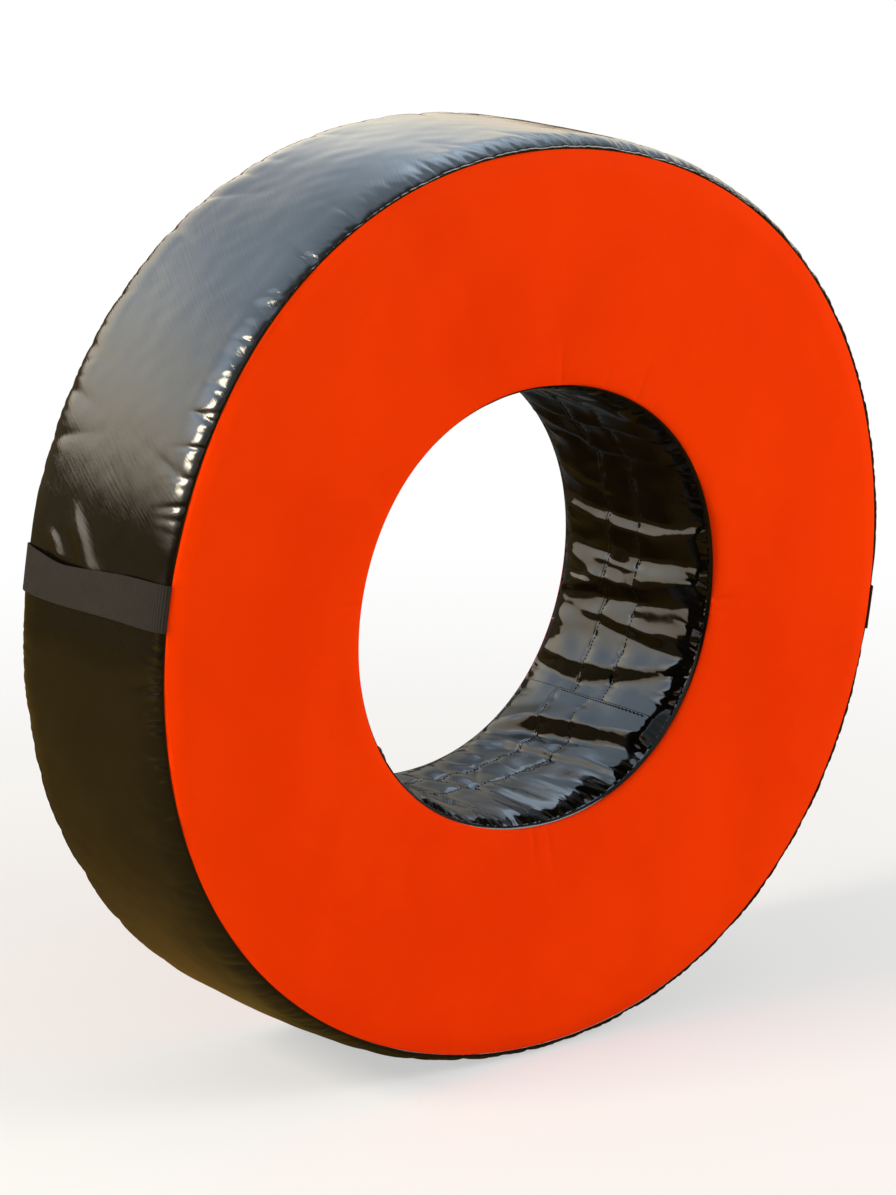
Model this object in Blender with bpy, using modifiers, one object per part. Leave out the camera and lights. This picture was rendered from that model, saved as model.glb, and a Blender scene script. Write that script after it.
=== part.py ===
"""Foam tackle wheel in a sewn vinyl cover, with webbing handles and a hook-and-loop closure in its bore."""

import math

import bmesh
import bpy
import numpy as np

# The cover's rings of seams, in metres
OUTER_SEAM_RADIUS = 0.516
BORE_SEAM_RADIUS = 0.256
SEAM_SPACING = 0.259
SEAM_ALLOWANCE = 0.0045

# How far each panel stands out from its seams, and over what width it rolls down to them
FACE_CROWN = 0.006
FACE_SHOULDER = 0.022
FACE_SWELL = 0.003
BAND_CROWN = 0.013
BAND_SHOULDER = 0.042
BAND_SWELL = 0.0015
LINING_CROWN = 0.0067
LINING_SHOULDER = 0.03

# Sheet materials and the clearances between layers
VINYL = 0.0009
LAYER_GAP = 0.0003
FOAM_EASE = 0.0005

# The closure in the bore: two tapes between a flap and the lining under it
TAPE_WIDTH = 0.054
TAPE_THICKNESS = 0.0015
CLOSURE_SETBACK = 0.008
FLAP_MARGIN = 0.003
LINING_UNDERLAP = 0.004
FLAP_RAMP = 0.016
LINING_JOINT_ANGLE = math.radians(-47)

# The main folds of the loose lining, deeper on some sides of the bore than on others
FOLD_DEPTH = 0.006
FOLD_COUNT = 16
FOLD_START = 0.05
UNEVEN_COUNT = 5
UNEVEN_PHASE = 1
UNEVEN_SHARE = 0.25

# The handles, and so the line across the wheel on which the outer bands meet
HANDLE_ANGLE = math.radians(171)
HANDLE_WIDTH = 0.052
WEBBING = 0.002
HANDLE_SLACK = 0.003

# The foam core: three slabs, each of quarter rings that meet where the outline is pinched
MIDDLE_SLAB = 0.087
QUARTERS = ("upper_right", "upper_left", "lower_left", "lower_right")
FOAM_CLEARANCE = 0.001

# How the relaxed foam and the floor change the round outline
PINCH = 0.0046
BORE_OVAL = 0.0025
OVAL_PLACES = 2
FLATTENING = 0.004

# Steps of a full turn, of a handle's width and of a rounded corner
TURN_STEPS = 64
HANDLE_STEPS = 4
CORNER_STEPS = 2
MERGE_DISTANCE = 0.0001

# Values worked out from the sizes above
FULL_TURN = 2 * math.pi
DOWN = -math.pi / 2
DIAGONAL = math.sqrt(0.5)
HALF_SEAM_SPACING = SEAM_SPACING / 2
JOINT_ANGLE = HANDLE_ANGLE - math.pi
TAPE_FRONT = TAPE_WIDTH / 2 - CLOSURE_SETBACK
TAPE_BACK = -TAPE_WIDTH / 2 - CLOSURE_SETBACK
LINING_RADIUS = BORE_SEAM_RADIUS - LINING_CROWN
LOOP_TAPE_RADIUS = LINING_RADIUS - LAYER_GAP - TAPE_THICKNESS
HOOK_TAPE_RADIUS = LOOP_TAPE_RADIUS - LAYER_GAP - TAPE_THICKNESS
FLAP_RADIUS = HOOK_TAPE_RADIUS - LAYER_GAP - VINYL


# Profiles: points as (radius, forward), where forward is the distance in front of the middle


def mirrored(points):
    """The same points behind the middle, in the order that keeps the panel facing out."""
    return np.array(points)[::-1] * (1, -1)


def seam_edge(radius, side, panel):
    """The inner end of a panel's seam allowance, then its seam point.

    side is 1 at an outer seam and -1 at a bore seam; panel is 1 for a face and -1 for the wall it meets.
    """
    apart = np.array([-side, 1]) * DIAGONAL * LAYER_GAP / 2
    seam = np.array([radius, HALF_SEAM_SPACING]) + panel * apart
    inward = np.array([-side, -1]) * DIAGONAL * SEAM_ALLOWANCE
    return seam + inward, seam


def shoulder(seam, along, rise):
    """The rounded stretch by which a panel rises from its seam, as a quarter of an ellipse."""
    turns = np.linspace(0, math.pi / 2, CORNER_STEPS + 1)[:, None]
    return seam + np.array(rise) * np.sin(turns) + np.array(along) * (1 - np.cos(turns))


def face_profile():
    bore_end, bore_seam = seam_edge(BORE_SEAM_RADIUS, -1, 1)
    outer_end, outer_seam = seam_edge(OUTER_SEAM_RADIUS, 1, 1)
    inner = shoulder(bore_seam, (FACE_SHOULDER, 0), (0, FACE_CROWN))
    outer = shoulder(outer_seam, (-FACE_SHOULDER, 0), (0, FACE_CROWN))
    middle = (inner[-1] + outer[-1]) / 2 + (0, FACE_SWELL)
    return np.array([bore_end, *inner, middle, *outer[::-1], outer_end])


def band_profile():
    end, seam = seam_edge(OUTER_SEAM_RADIUS, 1, -1)
    front = [end, *shoulder(seam, (0, -BAND_SHOULDER), (BAND_CROWN, 0))]
    crest = (front[-1][0] + BAND_SWELL, 0)
    return np.array([*front, crest, *mirrored(front)])


def lining_edge():
    """The front edge of a bore lining, from its rolled shoulder to the end of its seam allowance."""
    end, seam = seam_edge(BORE_SEAM_RADIUS, -1, -1)
    return [*shoulder(seam, (0, -LINING_SHOULDER), (-LINING_CROWN, 0))[::-1], end]


def flap_profile():
    return np.array(
        [
            (FLAP_RADIUS, TAPE_BACK - FLAP_MARGIN),
            (FLAP_RADIUS, TAPE_BACK),
            (FLAP_RADIUS, TAPE_FRONT),
            (LINING_RADIUS, TAPE_FRONT + FLAP_RAMP),
            *lining_edge(),
        ]
    )


def back_lining_profile():
    front = [
        (LINING_RADIUS, TAPE_BACK),
        (LINING_RADIUS, TAPE_FRONT),
        (LINING_RADIUS, TAPE_FRONT + LINING_UNDERLAP),
    ]
    return np.array([*mirrored(lining_edge()), *front])


def tape_profile(radius):
    return np.array([(radius, TAPE_BACK), (radius, TAPE_FRONT)])


def band_radius(forward):
    """The outer wall's radius at a distance in front of the middle."""
    wall = band_profile()[1:-1][::-1]
    return np.interp(forward, wall[:, 1], wall[:, 0])


def face_level(radius):
    """How far a face lies in front of the middle at a radius."""
    face = face_profile()[1:-1]
    return np.interp(radius, face[:, 0], face[:, 1])


def foam_bore(forward):
    """The radius of the core's bore, behind the lining, at a distance in front of the middle."""
    lining = np.array(lining_edge()[:-1])
    return np.interp(forward, lining[:, 1], lining[:, 0]) + VINYL + LAYER_GAP


def foam_radius(forward):
    return band_radius(forward) - VINYL - FOAM_EASE


def foam_level(radius):
    return face_level(radius) - VINYL - FOAM_EASE


def foam_round(stand_out):
    """The radius of a foam edge that clears the seam allowances, where the wall stands out from its seam."""
    face_stand_out = FACE_CROWN - VINYL - FOAM_EASE
    corner_to_allowance = stand_out + face_stand_out + 2 * SEAM_ALLOWANCE * DIAGONAL
    return (corner_to_allowance * DIAGONAL + FOAM_CLEARANCE) / (1 / DIAGONAL - 1)


def outer_foam_round():
    return foam_round(band_radius(0) - VINYL - FOAM_EASE - OUTER_SEAM_RADIUS)


def foam_corner(corner, first, second, rounding):
    """A rounded foam edge, from the side that first points along to the side that second points along."""
    turns = np.linspace(0, math.pi / 2, CORNER_STEPS + 1)[:, None]
    back_first = np.array(first) * (1 - np.sin(turns))
    back_second = np.array(second) * (1 - np.cos(turns))
    return corner + rounding * (back_first + back_second)


def front_slab_profile():
    low = MIDDLE_SLAB / 2 + LAYER_GAP
    inner_round = foam_round(BORE_SEAM_RADIUS - foam_bore(0))
    outer_round = outer_foam_round()
    inner_level = foam_level(foam_bore(0) + inner_round)
    outer_level = foam_level(foam_radius(0) - outer_round)
    middle = (BORE_SEAM_RADIUS + OUTER_SEAM_RADIUS) / 2
    inner_corner = np.array([foam_bore(inner_level - inner_round), inner_level])
    outer_corner = np.array([foam_radius(outer_level - outer_round), outer_level])
    return np.array(
        [
            (foam_bore(low), low),
            *foam_corner(inner_corner, (0, -1), (1, 0), inner_round),
            (middle, foam_level(middle)),
            *foam_corner(outer_corner, (-1, 0), (0, -1), outer_round),
            (foam_radius(low), low),
        ]
    )


def middle_slab_profile():
    edge = MIDDLE_SLAB / 2
    front = [(foam_bore(edge), edge), (foam_radius(edge), edge)]
    return np.array([*front, *mirrored(front)])


def handle_profile():
    """The inner side of a handle, over the outer wall from seam to seam, slack between its tacked ends."""
    seam = seam_edge(OUTER_SEAM_RADIUS, 1, -1)[1]
    tacked = shoulder(seam, (0, -BAND_SHOULDER), (BAND_CROWN, 0)) + (LAYER_GAP, LAYER_GAP)
    halfway = tacked[-1][1] / 2
    slack = (band_radius(halfway) + LAYER_GAP + HANDLE_SLACK * DIAGONAL, halfway)
    crest = (band_radius(0) + LAYER_GAP + HANDLE_SLACK, 0)
    return np.array([*tacked, slack, crest, *mirrored([*tacked, slack])])


# The shape that the whole wheel takes: relaxed foam, a pressed bottom and a folded lining


def relaxed(angle, radius):
    """A radius once the ring has drawn in where the foam quarters meet, and its bore has sagged."""
    at_joint = math.cos(len(QUARTERS) * (angle - JOINT_ANGLE))
    pinch = PINCH * radius / OUTER_SEAM_RADIUS * at_joint
    depth = (OUTER_SEAM_RADIUS - radius) / (OUTER_SEAM_RADIUS - BORE_SEAM_RADIUS)
    oval = BORE_OVAL * min(max(depth, 0), 1) * math.cos(OVAL_PLACES * angle)
    return radius - pinch + oval


def centre_height():
    """The wheel's centre over the floor that flattens its outer wall."""
    return relaxed(DOWN, band_radius(0)) - FLATTENING


def pressed(angle, radius, forward):
    """How far the floor moves a point in along its radius: most at the outer wall, not at all at the bore."""
    drop = -math.sin(angle)
    if drop <= DIAGONAL:
        return 0
    excess = relaxed(angle, band_radius(forward)) - centre_height() / drop
    reach = OUTER_SEAM_RADIUS - outer_foam_round() - BORE_SEAM_RADIUS
    return max(excess, 0) * min(max((radius - BORE_SEAM_RADIUS) / reach, 0), 1)


def folded(angle, forward):
    """How far the loose lining stands off the foam, fading out towards its seams."""
    wave = (1 + math.cos(FOLD_COUNT * (angle - LINING_JOINT_ANGLE))) / 2
    uneven = 1 - UNEVEN_SHARE * (1 + math.cos(UNEVEN_COUNT * angle + UNEVEN_PHASE))
    past = (abs(forward) - FOLD_START) / (HALF_SEAM_SPACING - FOLD_START)
    fade = (1 + math.cos(math.pi * min(max(past, 0), 1))) / 2
    return FOLD_DEPTH * wave * uneven * fade


def place(turned, start, loose):
    """Moves a point turned round +Z to its place in the standing wheel, whose axis runs along Y."""
    angle = math.atan2(turned.y, turned.x) + start
    flat_radius = math.hypot(turned.x, turned.y)
    radius = relaxed(angle, flat_radius) - pressed(angle, flat_radius, turned.z)
    if loose:
        radius -= folded(angle, turned.z)
    height = radius * math.sin(angle) + centre_height()
    return radius * math.cos(angle), -turned.z, height


# Building


def new_material(name, colour, roughness, coat=0.0):
    material = bpy.data.materials.new(name)
    material.use_nodes = True
    shader = material.node_tree.nodes["Principled BSDF"]
    shader.inputs["Base Color"].default_value = (*colour, 1)
    shader.inputs["Roughness"].default_value = roughness
    shader.inputs["Metallic"].default_value = 0
    shader.inputs["Coat Weight"].default_value = coat
    return material


def on_step(angle):
    """The nearest angle at which the full rings have an edge, so that facets of neighbours lie alike."""
    step = FULL_TURN / TURN_STEPS
    return JOINT_ANGLE + round((angle - JOINT_ANGLE) / step) * step


def turned_mesh(name, profile, sweep, steps, closed):
    """A profile turned round +Z, starting at +X, as a plain mesh."""
    mesh = bpy.data.meshes.new(name)
    edges = [(i, i + 1) for i in range(len(profile) - 1)]
    if closed:
        edges.append((len(profile) - 1, 0))
    mesh.from_pydata([(radius, 0, forward) for radius, forward in profile], edges, [])
    guide = bpy.data.objects.new(name + "_guide", mesh)
    collection.objects.link(guide)
    screw = guide.modifiers.new("Turn", "SCREW")
    screw.axis = "Z"
    screw.angle = sweep
    screw.steps = steps
    screw.render_steps = steps
    screw.use_merge_vertices = math.isclose(sweep, FULL_TURN)
    screw.merge_threshold = MERGE_DISTANCE
    graph = bpy.context.evaluated_depsgraph_get()
    result = bpy.data.meshes.new_from_object(guide.evaluated_get(graph))
    bpy.data.objects.remove(guide)
    return result


def add_turned(name, profile, start, sweep, steps, material, closed=False, loose=False):
    """A turned piece in its place: a closed one has its ends filled, an open one is left as a surface."""
    mesh = turned_mesh(name, profile, sweep, steps, closed)
    shape = bmesh.new()
    shape.from_mesh(mesh)
    if closed:
        bmesh.ops.holes_fill(shape, edges=shape.edges)
        bmesh.ops.recalc_face_normals(shape, faces=shape.faces)
    for vertex in shape.verts:
        vertex.co = place(vertex.co, start, loose)
    bmesh.ops.triangulate(shape, faces=shape.faces)
    shape.to_mesh(mesh)
    shape.free()
    mesh.materials.append(material)
    mesh.shade_smooth()
    mesh.set_sharp_from_angle(angle=math.radians(50))
    piece = bpy.data.objects.new(name, mesh)
    collection.objects.link(piece)
    return piece


def thicken(piece, thickness, offset=-1):
    """Gives a surface its sheet thickness, inwards unless offset says outwards."""
    solid = piece.modifiers.new("Sheet", "SOLIDIFY")
    solid.thickness = thickness
    solid.offset = offset
    solid.use_even_offset = True
    solid.use_quality_normals = True


def add_sheet_ring(name, profile, material):
    ring = add_turned(name, profile, JOINT_ANGLE, FULL_TURN, TURN_STEPS, material)
    thicken(ring, VINYL)


def add_bore_strip(name, profile, thickness, material):
    """A strip round the bore, whose two ends meet at the lining's joint."""
    gap = LAYER_GAP / BORE_SEAM_RADIUS
    start = on_step(LINING_JOINT_ANGLE) + gap / 2
    strip = add_turned(name, profile, start, FULL_TURN - gap, TURN_STEPS, material, loose=True)
    thicken(strip, thickness)


def add_segment(name, profile, index, count, material, closed=False):
    """One of some equal lengths of a ring, which stops short of its joints by half a gap at each end."""
    gap = LAYER_GAP / BORE_SEAM_RADIUS
    length = FULL_TURN / count
    start = JOINT_ANGLE + index * length + gap / 2
    steps = TURN_STEPS // count
    return add_turned(name, profile, start, length - gap, steps, material, closed=closed)


def add_faces(material):
    add_sheet_ring("front_face_panel", face_profile(), material)
    add_sheet_ring("back_face_panel", mirrored(face_profile()), material)


def add_outer_bands(material):
    names = ("upper_outer_band", "lower_outer_band")
    for index, name in enumerate(names):
        thicken(add_segment(name, band_profile(), index, len(names), material), VINYL)


def add_bore_closure(vinyl, tape):
    add_bore_strip("front_bore_lining_flap", flap_profile(), VINYL, vinyl)
    add_bore_strip("back_bore_lining", back_lining_profile(), VINYL, vinyl)
    add_bore_strip("closure_hook_tape", tape_profile(HOOK_TAPE_RADIUS), TAPE_THICKNESS, tape)
    add_bore_strip("closure_loop_tape", tape_profile(LOOP_TAPE_RADIUS), TAPE_THICKNESS, tape)


def add_handles(material):
    width = HANDLE_WIDTH / band_radius(0)
    for name, angle in (("left_handle_strap", HANDLE_ANGLE), ("right_handle_strap", JOINT_ANGLE)):
        start = angle - width / 2
        strap = add_turned(name, handle_profile(), start, width, HANDLE_STEPS, material)
        thicken(strap, WEBBING, offset=1)


def add_foam_core(material):
    slabs = {
        "front": front_slab_profile(),
        "middle": middle_slab_profile(),
        "back": mirrored(front_slab_profile()),
    }
    for slab, profile in slabs.items():
        for index, quarter in enumerate(QUARTERS):
            name = f"{slab}_foam_{quarter}"
            add_segment(name, profile, index, len(QUARTERS), material, closed=True)


for leftover in list(bpy.data.objects):
    bpy.data.objects.remove(leftover)
collection = bpy.data.collections.new("tackle_wheel")
bpy.context.scene.collection.children.link(collection)

orange_vinyl = new_material("orange_vinyl", (0.83, 0.045, 0.002), 0.35, 0.2)
black_vinyl = new_material("black_vinyl", (0.012, 0.012, 0.013), 0.18, 0.5)
grey_webbing = new_material("grey_webbing", (0.05, 0.045, 0.038), 0.85)
black_tape = new_material("black_tape", (0.01, 0.01, 0.01), 0.95)
white_foam = new_material("white_foam", (0.75, 0.74, 0.68), 0.9)

add_faces(orange_vinyl)
add_outer_bands(black_vinyl)
add_bore_closure(black_vinyl, black_tape)
add_handles(grey_webbing)
add_foam_core(white_foam)
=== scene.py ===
"""The looks of a foam tackle wheel: its sewn vinyl cover, webbing handles and the closure in its bore."""

import math

import bmesh
import bpy
import numpy as np
from mathutils import Matrix, Vector


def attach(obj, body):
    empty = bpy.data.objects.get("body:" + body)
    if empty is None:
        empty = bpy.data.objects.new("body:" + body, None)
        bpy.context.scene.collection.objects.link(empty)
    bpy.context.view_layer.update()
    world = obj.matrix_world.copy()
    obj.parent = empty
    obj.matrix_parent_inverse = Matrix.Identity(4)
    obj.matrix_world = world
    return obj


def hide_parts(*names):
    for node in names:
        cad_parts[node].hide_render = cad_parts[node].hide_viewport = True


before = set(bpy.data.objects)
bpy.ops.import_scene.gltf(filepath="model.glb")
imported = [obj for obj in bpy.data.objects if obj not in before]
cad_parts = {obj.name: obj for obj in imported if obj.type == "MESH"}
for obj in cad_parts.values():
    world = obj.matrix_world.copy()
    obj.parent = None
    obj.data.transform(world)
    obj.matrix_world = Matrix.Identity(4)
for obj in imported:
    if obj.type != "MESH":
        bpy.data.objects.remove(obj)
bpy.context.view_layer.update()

# The foam core: three slabs of four quarter rings, cut from white open-cell foam and laid side by side.
# The relaxed foam draws the outline in where quarters meet, and the floor presses the lowest stretch flat.
outer_seam_radius = 0.516
bore_seam_radius = 0.256
half_width = 0.1295
half_middle_slab = 0.0435
slab_gap = 0.0003
wall_crown = 0.013
wall_shoulder = 0.042
wall_swell = 0.0015
face_crown = 0.006
face_shoulder = 0.022
face_swell = 0.003
lining_crown = 0.0067
lining_shoulder = 0.03
foam_inset = 0.004
foam_bore_inset = 0.0105
foam_round = 0.03
foam_bevel_steps = 5
pinch_depth = 0.0046
bore_oval = 0.0025
flattening = 0.004
quarters = ("upper_right", "upper_left", "lower_left", "lower_right")
handle_angle = math.radians(171)
joint_angle = handle_angle - math.pi
down = -math.pi / 2
diagonal = math.sqrt(0.5)
full_turn = 2 * math.pi


def relaxed(angle, radius):
    """A radius once the ring has drawn in where the foam quarters meet, and its bore has sagged."""
    pinch = pinch_depth * radius / outer_seam_radius * np.cos(len(quarters) * (angle - joint_angle))
    depth = np.clip((outer_seam_radius - radius) / (outer_seam_radius - bore_seam_radius), 0, 1)
    return radius - pinch + bore_oval * depth * np.cos(2 * angle)


centre_height = relaxed(down, outer_seam_radius + wall_crown + wall_swell) - flattening


def pressed(angle, radius, forward):
    """How far the floor moves a point in along its radius: most at the outer wall, not at all at the bore."""
    drop = -np.sin(angle)
    past = np.clip((half_width - np.abs(forward)) / wall_shoulder, 0, 1)
    wall = outer_seam_radius + wall_crown * np.sqrt(1 - (1 - past) ** 2) + wall_swell * past
    excess = relaxed(angle, wall) - centre_height / np.maximum(drop, diagonal)
    share = np.clip((radius - bore_seam_radius) / (outer_seam_radius - foam_round - bore_seam_radius), 0, 1)
    return np.where(drop > diagonal, np.maximum(excess, 0) * share, 0)


def standing(angle, radius, forward):
    """Points in the row's frame, from their angle, radius and distance in front of the wheel's middle."""
    final = relaxed(angle, radius) - pressed(angle, radius, forward)
    return np.stack([final * np.cos(angle), -forward, final * np.sin(angle) + centre_height], axis=-1)


class Shade:
    """A shader socket that takes part in plain arithmetic: each operation adds its Math node."""

    def __init__(self, tree, socket=None):
        self.tree = tree
        self.socket = socket

    def node(self, kind, settings, inputs, output=0):
        """Any other node: its type, its settings, and the values or links of its sockets."""
        made = self.tree.nodes.new(kind)
        for name, value in settings.items():
            if name == "stops":
                ramp = made.color_ramp
                while len(ramp.elements) < len(value):
                    ramp.elements.new(1)
                for element, (place, colour) in zip(ramp.elements, value):
                    element.position = place
                    element.color = (*colour, 1)
            else:
                setattr(made, name, value)
        for name, value in inputs.items():
            if isinstance(value, Shade):
                self.tree.links.new(value.socket, made.inputs[name])
            else:
                made.inputs[name].default_value = value
        return Shade(self.tree, made.outputs[output])

    def maths(self, operation, *values):
        return self.node("ShaderNodeMath", {"operation": operation}, dict(enumerate(values)))

    def __add__(self, other):
        return self.maths("ADD", self, other)

    __radd__ = __add__

    def __mul__(self, other):
        return self.maths("MULTIPLY", self, other)

    __rmul__ = __mul__

    def __sub__(self, other):
        return self.maths("SUBTRACT", self, other)

    def __rsub__(self, other):
        return self.maths("SUBTRACT", other, self)

    def between(self, low, high):
        """0 below low, 1 above high and a smooth rise in between."""
        limits = {"Value": self, "From Min": low, "From Max": high}
        return self.node("ShaderNodeMapRange", {"interpolation_type": "SMOOTHSTEP"}, limits)

    def coordinates(self, uv=False):
        """Object coordinates, or the piece's own UV map, in metres."""
        return self.node("ShaderNodeTexCoord", {}, {}, "UV" if uv else "Object")

    def turned(self, vector, angles=(0, 0, 0), scale=(1, 1, 1)):
        return self.node("ShaderNodeMapping", {}, {"Vector": vector, "Rotation": angles, "Scale": scale})

    def noise(self, vector, scale, detail=3.0, roughness=0.5):
        inputs = {"Vector": vector, "Scale": scale, "Detail": detail, "Roughness": roughness}
        return self.node("ShaderNodeTexNoise", {}, inputs)

    def cells(self, vector, scale):
        return self.node("ShaderNodeTexVoronoi", {}, {"Vector": vector, "Scale": scale})

    def waves(self, vector, scale, distortion, direction):
        settings = {"wave_type": "BANDS", "bands_direction": direction}
        inputs = {"Vector": vector, "Scale": scale, "Distortion": distortion, "Detail": 1.0}
        return self.node("ShaderNodeTexWave", settings, inputs, "Fac")

    def mix(self, factor, first, second):
        """A colour between two colours."""
        return self.node("ShaderNodeMix", {"data_type": "RGBA"}, {"Factor": factor, 6: first, 7: second}, 2)

    def vectors(self, operation, *values, output=0):
        return self.node("ShaderNodeVectorMath", {"operation": operation}, dict(enumerate(values)), output)

    def part(self, vector, axis):
        """A vector's x, y or z, for axis 0, 1 or 2."""
        return self.node("ShaderNodeSeparateXYZ", {}, {0: vector}, axis)

    def bump(self, height, distance, under=None):
        inputs = {"Height": height, "Distance": distance, "Strength": 1.0}
        if under:
            inputs["Normal"] = under
        return self.node("ShaderNodeBump", {}, inputs)


def finish_material(name, **inputs):
    """A new material and the shading tree that its Principled shader is fed from."""
    material = bpy.data.materials.new(name)
    material.use_nodes = True
    shader = material.node_tree.nodes["Principled BSDF"]
    for socket, value in inputs.items():
        shader.inputs[socket.replace("_", " ")].default_value = value
    return material, Shade(material.node_tree), shader


def feed(shader, socket, shade):
    shade.tree.links.new(shade.socket, shader.inputs[socket])


foam_white, shade, shader = finish_material("foam_white", Specular_IOR_Level=0.2)
place = shade.coordinates()
pores = shade.cells(place, 900)
mottled = shade.noise(place, 12)
feed(shader, "Base Color", shade.mix(mottled, (0.78, 0.76, 0.66, 1), (0.84, 0.83, 0.76, 1)))
feed(shader, "Roughness", 0.85 + pores * 0.1)
feed(shader, "Normal", shade.bump(pores, 0.0006))


def in_scene(name, data):
    """A new object of the scene, from its mesh, lamp or camera."""
    made = bpy.data.objects.new(name, data)
    bpy.context.scene.collection.objects.link(made)
    return made


def from_shape(name, shape, material):
    mesh = bpy.data.meshes.new(name)
    shape.to_mesh(mesh)
    shape.free()
    mesh.materials.append(material)
    return in_scene(name, mesh)


def finish_piece(name, shape, material, node=None, smooth_to=60):
    """Makes the piece from its shape, shades it and ties it to the wheel, in place of its CAD node."""
    piece = from_shape(name, shape, material)
    piece.data.shade_smooth()
    piece.data.set_sharp_from_angle(angle=math.radians(smooth_to))
    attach(piece, "root")
    if node:
        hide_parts(node)
    return piece


foam_levels = {
    "front": (half_middle_slab + slab_gap, half_width + face_crown - foam_inset),
    "middle": (-half_middle_slab, half_middle_slab),
    "back": (-half_width - face_crown + foam_inset, -half_middle_slab - slab_gap),
}
foam_quarter_steps = 48
for slab, (back_level, front_level) in foam_levels.items():
    for index, quarter in enumerate(quarters):
        shape = bmesh.new()
        inner = bore_seam_radius - lining_crown + foam_bore_inset
        outer = outer_seam_radius + wall_crown - foam_inset
        corners = [(inner, back_level), (outer, back_level), (outer, front_level), (inner, front_level)]
        section = shape.faces.new([shape.verts.new((radius, 0, level)) for radius, level in corners])
        rounded = [v for v in section.verts if abs(v.co.z) > half_middle_slab + foam_inset]
        if rounded:
            bmesh.ops.bevel(
                shape, geom=rounded, offset=foam_round, offset_type="OFFSET", segments=foam_bevel_steps,
                profile=0.5, affect="VERTICES", material=-1,
            )
        gap = slab_gap / bore_seam_radius
        sweep = full_turn / len(quarters) - gap
        bmesh.ops.spin(
            shape, geom=[*shape.verts, *shape.edges, *shape.faces], cent=(0, 0, 0), axis=(0, 0, 1),
            angle=sweep, steps=foam_quarter_steps, use_merge=False,
        )
        bmesh.ops.recalc_face_normals(shape, faces=shape.faces)
        start = joint_angle + index * full_turn / len(quarters) + gap / 2
        for vertex in shape.verts:
            angle = math.atan2(vertex.co.y, vertex.co.x) + start
            radius = math.hypot(vertex.co.x, vertex.co.y)
            vertex.co = standing(angle, radius, vertex.co.z)
        node = f"{slab}_foam_{quarter}"
        foam = finish_piece(node + "_cut", shape, foam_white, node)

# The bore's lining and closure: two black vinyl strips, each sewn into one bore seam and lapped onto itself
# at its joint. The front strip ends in a flap that lies on the back strip, held by hook-and-loop tape.
vinyl_thickness = 0.0009
seam_allowance = 0.0045
layer_gap = 0.0003
tape_thickness = 0.0015
tape_half_width = 0.027
closure_setback = 0.008
flap_margin = 0.003
underlap = 0.004
lap_angle = math.radians(-47)
lap_length = 0.024
lap_rise = 0.0013
lap_share = 0.04
lap_fade = 0.02
lap_inset = 0.003
wander_reach = 0.05
tape_front = tape_half_width - closure_setback
tape_back = -tape_half_width - closure_setback
lining_radius = bore_seam_radius - lining_crown
flap_radius = lining_radius - vinyl_thickness - layer_gap
hook_radius = flap_radius + vinyl_thickness + layer_gap
loop_radius = hook_radius + tape_thickness + layer_gap
under_radius = loop_radius + tape_thickness + layer_gap
stitch_inset = 0.001
row_places = (tape_front - stitch_inset, tape_back + stitch_inset)
bore_length = full_turn * lining_radius
bore_turn_steps = 1040
crease_power = 1.4
crease_start = 0.002
rng = np.random.default_rng(47)


def smooth(share):
    """0 to 1 with level ends."""
    share = np.clip(share, 0, 1)
    return share * share * (3 - 2 * share)


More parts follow.
